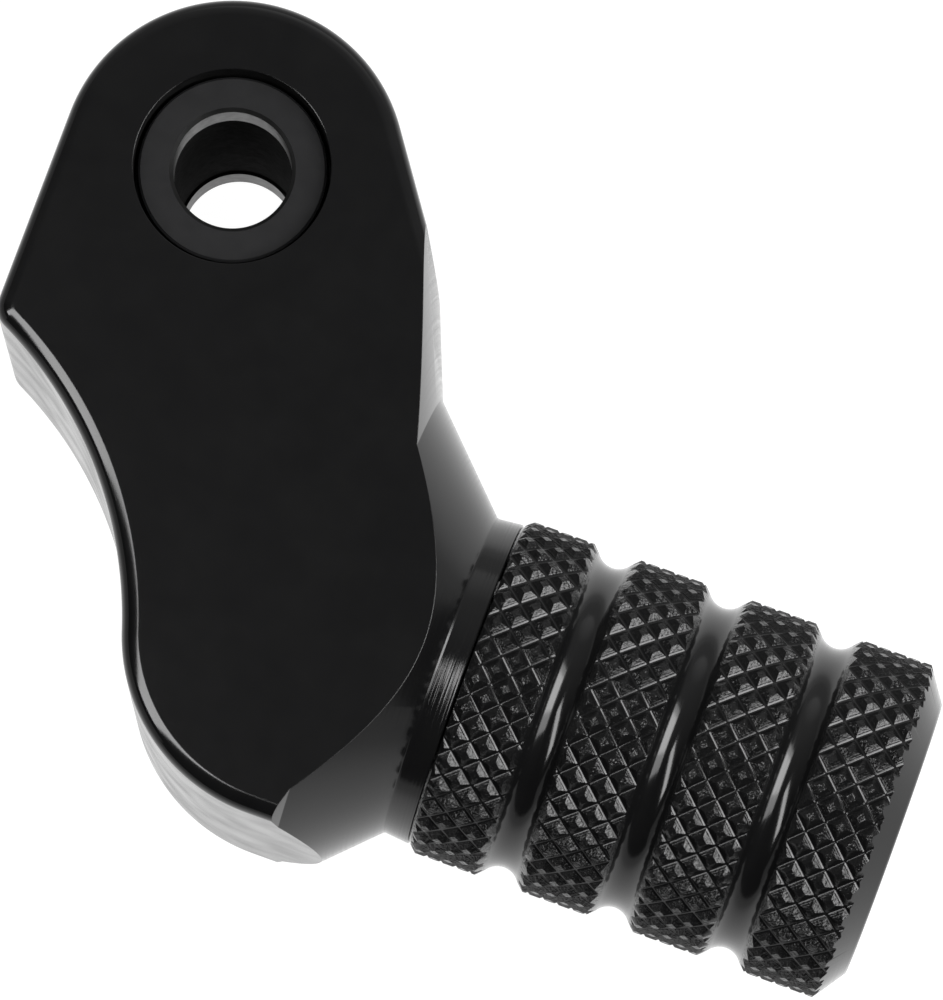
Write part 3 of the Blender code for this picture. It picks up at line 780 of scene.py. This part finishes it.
def weather(material, tones, roughness, bumps):
    """Three noises: one moves the colour, one the roughness and one lifts the surface.

    Each is given by its grain size and its two ends, or by its grain size and its depth.
    """
    for change, (size, *limits) in ((tint, tones), (roughen, roughness), (relief, bumps)):
        change(material, grain(material, size), *limits)
    return material


def shared(make):
    """Build a material once and hand the same one out afterwards."""
    made = []

    def once():
        if not made:
            made.append(make())
        return made[0]
    return once


def anodise(name, colour_size=2.5 * mm, ior=ANODISE_IOR):
    """Black anodised aluminium: an almost black base under a clear oxide skin."""
    material = new_material(name, (0.0045, 0.0045, 0.0046), 0.0, ior)
    tint(material, grain(material, colour_size), (0.0040, 0.0040, 0.0042), (0.0052, 0.0052, 0.0053))
    return material


@shared
def milled_anodise():
    material = anodise("black_anodise_milled")
    roughen(material, grain(material, 0.8 * mm), 0.10, 0.12)
    soften_edges(material)
    relief(material, grain(material, 0.06 * mm), 0.0006 * mm)
    return material


@shared
def profiled_anodise():
    """Walls cut along the arm's outline with the side of the mill, then blasted."""
    material = anodise("black_anodise_profiled")
    mottle = grain(material, 2.5 * mm, 1.0)
    roughen(material, mottle, 0.16, 0.26)
    soften_edges(material)
    relief(material, mottle, 0.0015 * mm)
    return material


def lathe_finish(name, ior):
    material = anodise(name, ior=ior)
    marks = lathe_marks(material, 0.10 * mm)
    roughen(material, marks, 0.10, 0.17)
    soften_edges(material)
    relief(material, marks, 0.0003 * mm)
    return material


@shared
def turned_anodise():
    # painted shade: the lower CONE_IOR dims this copy of the lathe finish
    return lathe_finish("black_anodise_turned", CONE_IOR)


@shared
def groove_anodise():
    return lathe_finish("black_anodise_grooves", ANODISE_IOR)


@shared
def neck_anodise():
    """The neck keeps the coarse feed marks of the parting tool."""
    material = anodise("black_anodise_neck")
    marks = lathe_marks(material, 0.15 * mm)
    roughen(material, marks, 0.10, 0.16)
    relief(material, marks, 0.022 * mm)
    return material


@shared
def knurl_flanks():
    """The knurl wheel drags ridges along the flanks, parallel to their foot."""
    material = anodise("black_anodise_flanks", 1.2 * mm)
    ridges = height_marks(material, 0.075 * mm)
    roughen(material, ridges, 0.12, 0.22)
    relief(material, ridges, 0.018 * mm)
    relief(material, grain(material, 0.18 * mm), 0.035 * mm)
    return material


@shared
def knurl_tops():
    """The crests are torn and pitted where the wheel squeezed the metal up."""
    material = anodise("black_anodise_crests", 1.2 * mm)
    roughen(material, grain(material, 0.2 * mm), 0.15, 0.28)
    relief(material, grain(material, 0.13 * mm, 1.0), 0.045 * mm)
    return material


@shared
def black_oxide():
    return weather(new_material("black_oxide_steel", (0.0146, 0.0146, 0.0152), 0.0, ANODISE_IOR),
                   (1.0 * mm, (0.0135, 0.0135, 0.0140), (0.0158, 0.0158, 0.0164)),
                   (0.4 * mm, 0.14, 0.18), (0.09 * mm, 0.0006 * mm))


def bore_land(name, ior):
    return weather(new_material(name, (0.008, 0.008, 0.008), 0.0, ior),
                   (1.0 * mm, (0.006, 0.006, 0.006), (0.010, 0.010, 0.010)),
                   (0.4 * mm, 0.30, 0.38), (0.09 * mm, 0.0010 * mm))


@shared
def front_land():
    return bore_land("front_bore_land", 1.5)


# The rear land is the front land's material with a lower IOR: a dimmer copy, painted shade.
@shared
def rear_land():
    return bore_land("rear_bore_land", 1.25)


def painted_shade_black(name):
    """Rough black that hardly mirrors anything: painted shade for surfaces that sit in shade."""
    material = new_material(name, (0.008, 0.008, 0.008), 0.0, 1.3)
    # painted shade: a very low specular level keeps these faces from mirroring the white table
    material.node_tree.nodes["Principled BSDF"].inputs["Specular IOR Level"].default_value = 0.05
    return weather(material,
                   (0.8 * mm, (0.006, 0.006, 0.006), (0.011, 0.011, 0.011)),
                   (0.3 * mm, 0.8, 0.95), (0.1 * mm, 0.003 * mm))


@shared
def relieved_bore_shade():
    """Middle of the sleeve's bore, made almost black and unmirroring: painted shade."""
    return painted_shade_black("relieved_bore_shade")


@shared
def painted_shade_recess():
    """Walls of the pockets in the head and the rim of the flange that runs in one, made almost black:
    painted shade.
    """
    return painted_shade_black("painted_shade_recess")


@shared
def wire_steel():
    return weather(new_material("drawn_spring_wire", (0.28, 0.27, 0.26), 1.0),
                   (0.9 * mm, (0.22, 0.21, 0.20), (0.33, 0.32, 0.31)),
                   (0.3 * mm, 0.28, 0.42), (0.07 * mm, 0.001 * mm))


@shared
def ground_steel():
    return weather(new_material("ground_steel", (0.55, 0.55, 0.56), 1.0),
                   (0.8 * mm, (0.48, 0.48, 0.49), (0.60, 0.60, 0.61)),
                   (0.25 * mm, 0.22, 0.34), (0.05 * mm, 0.0008 * mm))


@shared
def sintered_bronze():
    return weather(new_material("sintered_bronze", (0.45, 0.30, 0.13), 1.0),
                   (0.6 * mm, (0.36, 0.23, 0.10), (0.50, 0.34, 0.16)),
                   (0.2 * mm, 0.32, 0.48), (0.06 * mm, 0.004 * mm))


@shared
def acetal():
    return weather(new_material("black_acetal", (0.012, 0.012, 0.012), 0.0, 1.48),
                   (1.5 * mm, (0.010, 0.010, 0.010), (0.015, 0.015, 0.015)),
                   (0.4 * mm, 0.38, 0.5), (0.1 * mm, 0.001 * mm))


@shared
def rubber():
    return weather(new_material("nitrile_rubber", (0.015, 0.015, 0.015), 0.0, 1.52),
                   (0.7 * mm, (0.012, 0.012, 0.012), (0.020, 0.020, 0.020)),
                   (0.25 * mm, 0.6, 0.75), (0.08 * mm, 0.002 * mm))


def paint(obj, *materials):
    obj.data.materials.clear()
    for material in materials:
        obj.data.materials.append(material)


CARRIED_OVER = {
    "peg_lock_washer": wire_steel, "peg_dowel": ground_steel, "stop_pin": ground_steel,
    "rear_bush": sintered_bronze, "front_bush": sintered_bronze, "thrust_washer": acetal,
    "rear_seal": rubber, "front_seal": rubber,
}


# ---------------------------------------------------------------- floor, light and camera

AIM = Vector((17.16 * mm, -11.89 * mm, THICKNESS))
CAMERA_DISTANCE = 373.0 * mm
CAMERA_AZIMUTH = radians(16.24)
CAMERA_ELEVATION = radians(80.59)
CAMERA_ROLL = radians(3.79)
LENS, SENSOR = 268.3, 36.0          # in the camera's own millimetres

# The table and the wall glow with painted light, strongest under the object.
NEAR_GLOW, FAR_GLOW = 1.00, 0.36    # radiance of the table under the object, and away from it
GLOW_FADE = (18 * mm, 120 * mm)     # distances from the camera's aim between which it fades
TABLE_WHITE = 0.1
TABLE_RADIUS, WALL_HEIGHT = 1.5, 0.4
WALL_SPAN = range(50, 231, 5)       # azimuths in degrees

# Grey of the room by its direction's Y part, mapped from 0 at -Y to 1 at +Y. It steps down at +Y.
ROOM_GREYS = ((0.44, 0.015), (0.88, 0.33), (1.0, 1.0), (1.0, 0.60))
ROOM_END = (0.66, 0.82)             # X part between which the room darkens towards +X
ROOM_END_STRENGTH = 0.15

SOFTBOX_DISTANCE = 0.6
# Name, both ends as azimuth and angle from the zenith in degrees, width in metres, radiance
SOFTBOXES = (("softbox_right", ((7, 24), (3, 62)), 0.48, 4.9),
             ("softbox_right_core", ((15, 27), (8, 60)), 0.26, 5.7),
             ("softbox_left", ((177, 8.1), (215.5, 56)), 0.13, 9.5))


def glowing_white(name):
    """White surface that glows by itself, with no lamp: painted light, brightest under the object."""
    material = new_material(name, (TABLE_WHITE,) * 3, 0.0)
    shader = material.node_tree.nodes["Principled BSDF"]
    shader.inputs["Roughness"].default_value = 0.9
    shader.inputs["Emission Color"].default_value = (1, 1, 1, 1)
    place = add(material, "ShaderNodeTexCoord")
    distance = add(material, "ShaderNodeVectorMath", operation="DISTANCE")
    distance.inputs[1].default_value = (AIM.x, AIM.y, 0)
    fade = add(material, "ShaderNodeMapRange", interpolation_type="SMOOTHERSTEP")
    fade.inputs["From Min"].default_value, fade.inputs["From Max"].default_value = GLOW_FADE
    fade.inputs["To Min"].default_value, fade.inputs["To Max"].default_value = NEAR_GLOW, FAR_GLOW
    join(material, place, "Object", distance, 0)
    join(material, distance, "Value", fade, "Value")
    # painted light: the emission is strongest under the object and fades away from it
    join(material, fade, "Result", shader, "Emission Strength")
    return material


def make_floor():
    """White table and a low wall round two of its sides, both glowing with painted light."""
    bm = bmesh.new()
    bmesh.ops.create_circle(bm, cap_ends=True, segments=96, radius=TABLE_RADIUS)
    floor = new_object("studio_floor", bm)
    bm = bmesh.new()
    rim = [[bm.verts.new((*polar(TABLE_RADIUS, radians(azimuth)), z)) for z in (0, WALL_HEIGHT)]
           for azimuth in WALL_SPAN]
    for left, right in zip(rim, rim[1:]):
        bm.faces.new((left[0], right[0], right[1], left[1]))
    for piece in (floor, new_object("studio_wall", bm)):
        paint(piece, glowing_white(piece.name))


def make_surroundings():
    """Almost black on the -Y side, brighter towards +Y and dimmed towards the peg's end."""
    world = bpy.data.worlds.new("studio")
    world.use_nodes = True
    nodes, links = world.node_tree.nodes, world.node_tree.links
    place = nodes.new("ShaderNodeTexCoord")
    parts = nodes.new("ShaderNodeSeparateXYZ")
    spread = nodes.new("ShaderNodeMapRange")
    spread.inputs["From Min"].default_value = -1
    ramp = nodes.new("ShaderNodeValToRGB")
    stops = ramp.color_ramp.elements
    for position, _ in ROOM_GREYS[2:]:      # a ramp starts with two stops
        stops.new(position)
    for stop, (position, grey) in zip(stops, ROOM_GREYS):
        stop.position = position
        stop.color = (grey, grey, grey, 1)
    links.new(place.outputs["Generated"], parts.inputs["Vector"])
    links.new(parts.outputs["Y"], spread.inputs["Value"])
    links.new(spread.outputs["Result"], ramp.inputs["Fac"])
    links.new(ramp.outputs["Color"], nodes["Background"].inputs["Color"])
    end = nodes.new("ShaderNodeMapRange")
    end.inputs["From Min"].default_value, end.inputs["From Max"].default_value = ROOM_END
    end.inputs["To Min"].default_value = 1.0
    end.inputs["To Max"].default_value = ROOM_END_STRENGTH
    links.new(parts.outputs["X"], end.inputs["Value"])
    links.new(end.outputs["Result"], nodes["Background"].inputs["Strength"])
    bpy.context.scene.world = world


def towards(azimuth, from_zenith):
    """Unit vector at an azimuth and an angle from the zenith, both in degrees."""
    return Vector((*polar(sin(radians(from_zenith)), radians(azimuth)), cos(radians(from_zenith))))


def softbox(name, ends, width, radiance):
    """Area light that stretches between two directions, each given as towards() takes them."""
    first, second = (AIM + towards(*end) * SOFTBOX_DISTANCE for end in ends)
    centre = (first + second) / 2
    along = (second - first).normalized()
    back = (centre - AIM).normalized()
    back = (back - along * back.dot(along)).normalized()
    light = bpy.data.lights.new(name, "AREA")
    light.shape = "RECTANGLE"
    light.size, light.size_y = (second - first).length, width
    light.energy = radiance * pi * light.size * light.size_y
    obj = bpy.data.objects.new(name, light)
    obj.matrix_world = (Matrix.Translation(centre)
                        @ Matrix((along, back.cross(along), back)).transposed().to_4x4())
    bpy.context.scene.collection.objects.link(obj)


def make_camera():
    camera = bpy.data.cameras.new("camera")
    camera.lens = LENS
    camera.sensor_width = SENSOR
    camera.clip_start = 0.01
    obj = bpy.data.objects.new("camera", camera)
    turn = (Matrix.Rotation(CAMERA_AZIMUTH, 4, "Z")
            @ Matrix.Rotation(pi / 2 - CAMERA_ELEVATION, 4, "X")
            @ Matrix.Rotation(CAMERA_ROLL, 4, "Z"))
    back = turn @ Vector((0, 0, 1))
    obj.matrix_world = Matrix.Translation(AIM + back * CAMERA_DISTANCE) @ turn
    bpy.context.scene.collection.objects.link(obj)
    bpy.context.scene.camera = obj


make_arm()
make_peg()
make_peg_screw()
make_collar()
make_spring_plate()
make_return_spring()
for node, look in CARRIED_OVER.items():
    paint(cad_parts[node], look())

make_floor()
make_surroundings()
for name, ends, width, radiance in SOFTBOXES:
    softbox(name, ends, width, radiance)
make_camera()
bpy.context.scene.view_settings.view_transform = "Standard"
